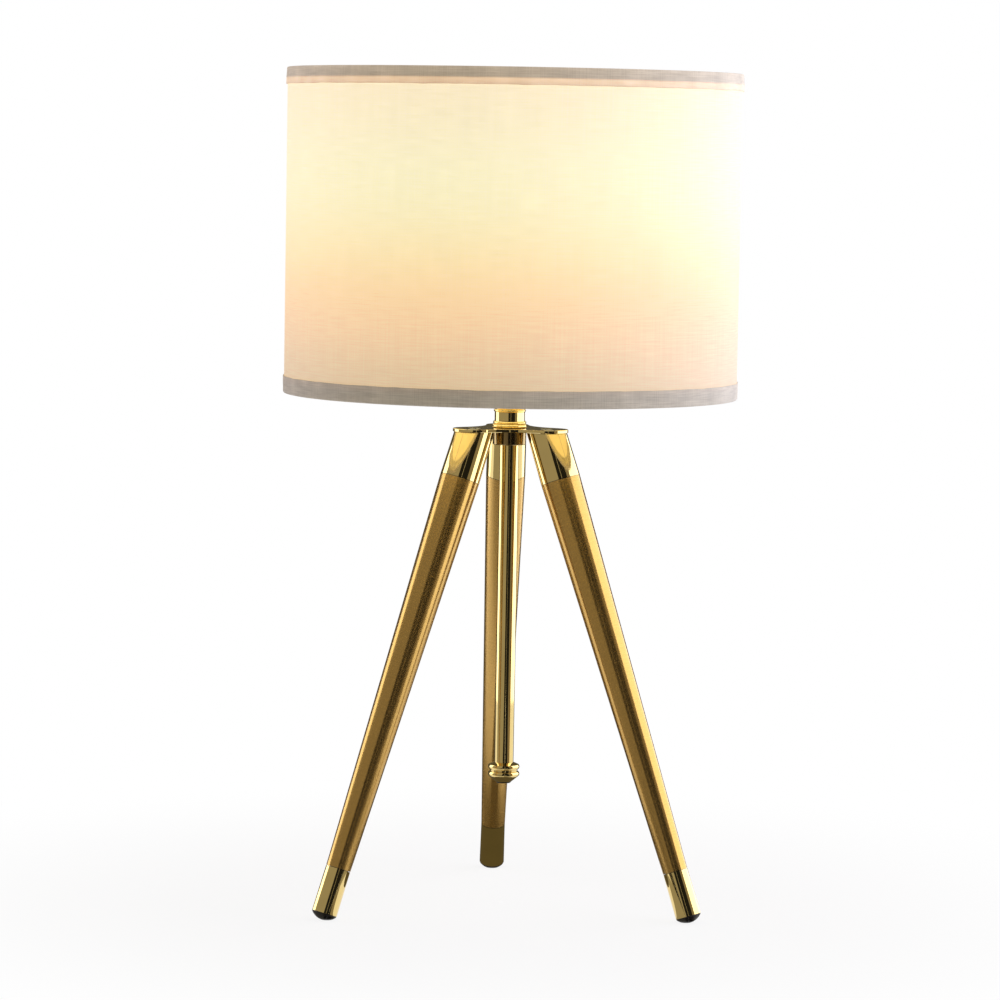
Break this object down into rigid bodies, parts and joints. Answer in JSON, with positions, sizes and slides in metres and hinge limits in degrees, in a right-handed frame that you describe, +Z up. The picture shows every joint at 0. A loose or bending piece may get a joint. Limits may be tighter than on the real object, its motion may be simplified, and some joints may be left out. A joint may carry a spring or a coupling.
{
  "type": "tripod table lamp",
  "caption": "Table lamp with a round drum shade on three splayed tapering legs, a short turned neck and a hanging centre rod with a turned end.",
  "frame": {"origin": "on the floor, under the axis that the neck, rod and shade share", "axes": "+Z up along the lamp axis; the back leg stands along +Y, so -Y is the front"},
  "size_m": [0.28, 0.28, 0.5155],
  "materials": {
    "shade_cloth": "slub weave cloth",
    "shade_plastic": "translucent sheet",
    "trim_cloth": "folded slub weave cloth",
    "steel": "plated wire and fasteners",
    "white_steel": "white powder coat",
    "holder_plastic": "moulded",
    "brass": "pressed",
    "polished_gold": "mirror polished",
    "satin_gold": "satin",
    "opal_glass": "opal",
    "bulb_metal": "rolled thread",
    "black_glass": "fused",
    "filament": "coated sticks",
    "black_plastic": "moulded",
    "foot_rubber": "moulded"
  },
  "bodies": {
    "stand": {"lampholder_cap": "holder_plastic", "lampholder_shell": "holder_plastic", "lampholder_insert": "holder_plastic", "screw_shell": "brass", "centre_contact": "brass", "terminal_blocks": "brass", "terminal_screws": "steel", "neck_spool": "polished_gold", "upper_nipple": "steel", "lock_nut": "steel", "hub_plate": "polished_gold", "hub_boss": "polished_gold", "leg_screws": "steel", "centre_rod": "polished_gold", "lower_nipple": "steel", "finial": "polished_gold", "outlet_bush": "black_plastic", "leg_sleeve_back": "polished_gold", "leg_plug_back": "steel", "leg_tube_back": "satin_gold", "leg_tip_back": "polished_gold", "foot_pad_back": "foot_rubber", "leg_sleeve_left": "polished_gold", "leg_plug_left": "steel", "leg_tube_left": "satin_gold", "leg_tip_left": "polished_gold", "foot_pad_left": "foot_rubber", "leg_sleeve_right": "polished_gold", "leg_plug_right": "steel", "leg_tube_right": "satin_gold", "leg_tip_right": "polished_gold", "foot_pad_right": "foot_rubber"},
    "shade": {"shade_fabric": "shade_cloth", "shade_liner": "shade_plastic", "shade_top_trim": "trim_cloth", "shade_bottom_trim": "trim_cloth", "top_ring_wire": "steel", "bottom_ring_wire": "steel", "shade_fitter_ring": "white_steel", "spider_arms": "white_steel"},
    "retaining_ring": {"retaining_ring": "holder_plastic"},
    "bulb": {"bulb_glass": "opal_glass", "bulb_cap": "bulb_metal", "bulb_insulator": "black_glass", "bulb_contact": "bulb_metal", "bulb_stem": "opal_glass", "bulb_filaments": "filament"}
  },
  "joints": [
    {"name": "shade_turn", "type": "hinge", "parent": "stand", "child": "shade", "pos_m": [0, 0, 0.3327], "axis": [0, 0, 1], "continuous": true},
    {"name": "retaining_ring_turn", "type": "hinge", "parent": "stand", "child": "retaining_ring", "pos_m": [0, 0, 0.337], "axis": [0, 0, 1], "continuous": true},
    {"name": "bulb_turn", "type": "hinge", "parent": "stand", "child": "bulb", "pos_m": [0, 0, 0.35], "axis": [0, 0, 1], "continuous": true}
  ]
}
